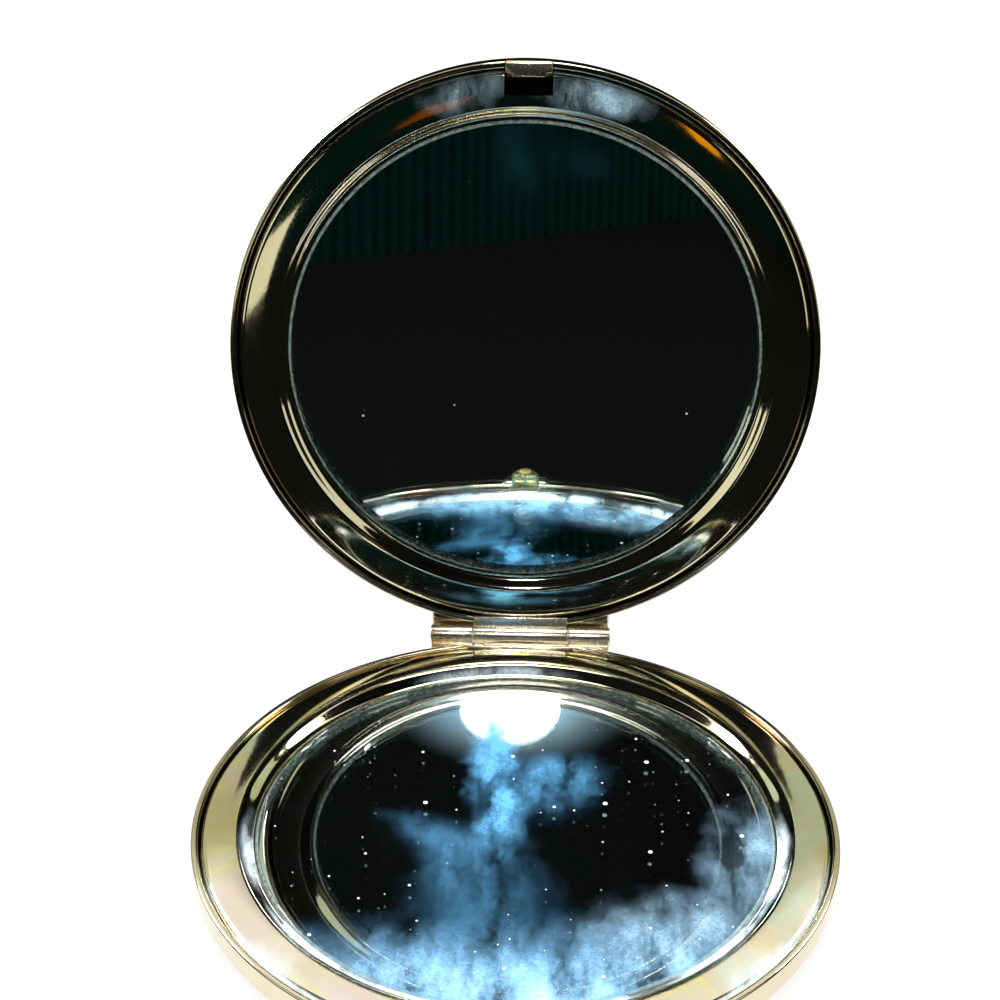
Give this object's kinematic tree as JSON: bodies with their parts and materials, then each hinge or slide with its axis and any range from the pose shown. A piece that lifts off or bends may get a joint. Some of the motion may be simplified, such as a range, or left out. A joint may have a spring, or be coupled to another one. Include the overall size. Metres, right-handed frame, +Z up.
{
  "type": "compact mirror",
  "caption": "Round metal compact mirror that folds: two glass mirrors in matching bright pans, a back hinge, and a push-button catch at the front.",
  "frame": {"origin": "centre of the flat round foot on the underside of the base", "axes": "+Z up out of the base's mirror, +Y from the push button at the front to the hinge at the back, +X along the hinge to the right of somebody who faces the mirror"},
  "size_m": [0.065, 0.0806, 0.0708],
  "materials": {
    "case_nickel": "bright warm nickel plate",
    "frame_nickel": "bright warm nickel plate, worn in places",
    "hinge_metal": "brass, plated, the plate worn off at the edges",
    "steel": "drawn steel",
    "mirror_glass": "clear float glass, ground edge",
    "mirror_silver": "silvered",
    "mount_foam": "white foam tape"
  },
  "bodies": {
    "base": {"base_shell": "case_nickel", "base_frame": "frame_nickel", "base_mirror_glass": "mirror_glass", "base_mirror_silvering": "mirror_silver", "base_mirror_pad": "mount_foam", "base_hinge_leaf": "hinge_metal", "hinge_pin": "steel", "catch_guide": "steel", "catch_spring": "steel"},
    "catch": {"catch_button": "case_nickel", "catch_claw": "frame_nickel", "catch_rivet": "steel"},
    "lid": {"lid_shell": "case_nickel", "lid_frame": "frame_nickel", "lid_mirror_glass": "mirror_glass", "lid_mirror_silvering": "mirror_silver", "lid_mirror_pad": "mount_foam", "lid_hinge_leaf": "hinge_metal", "catch_keeper": "steel"}
  },
  "joints": [
    {"name": "lid_hinge", "type": "hinge", "parent": "base", "child": "lid", "pos_m": [0, 0.03354, 0.0054], "axis": [-1, 0, 0], "range_deg": [-96.9, 0]},
    {"name": "catch_push", "type": "slide", "parent": "base", "child": "catch", "axis": [0, 1, 0], "range_m": [0, 0.0007], "stiffness_N_per_m": 600, "springref_m": -0.0005, "deforming": ["catch_spring"]}
  ]
}
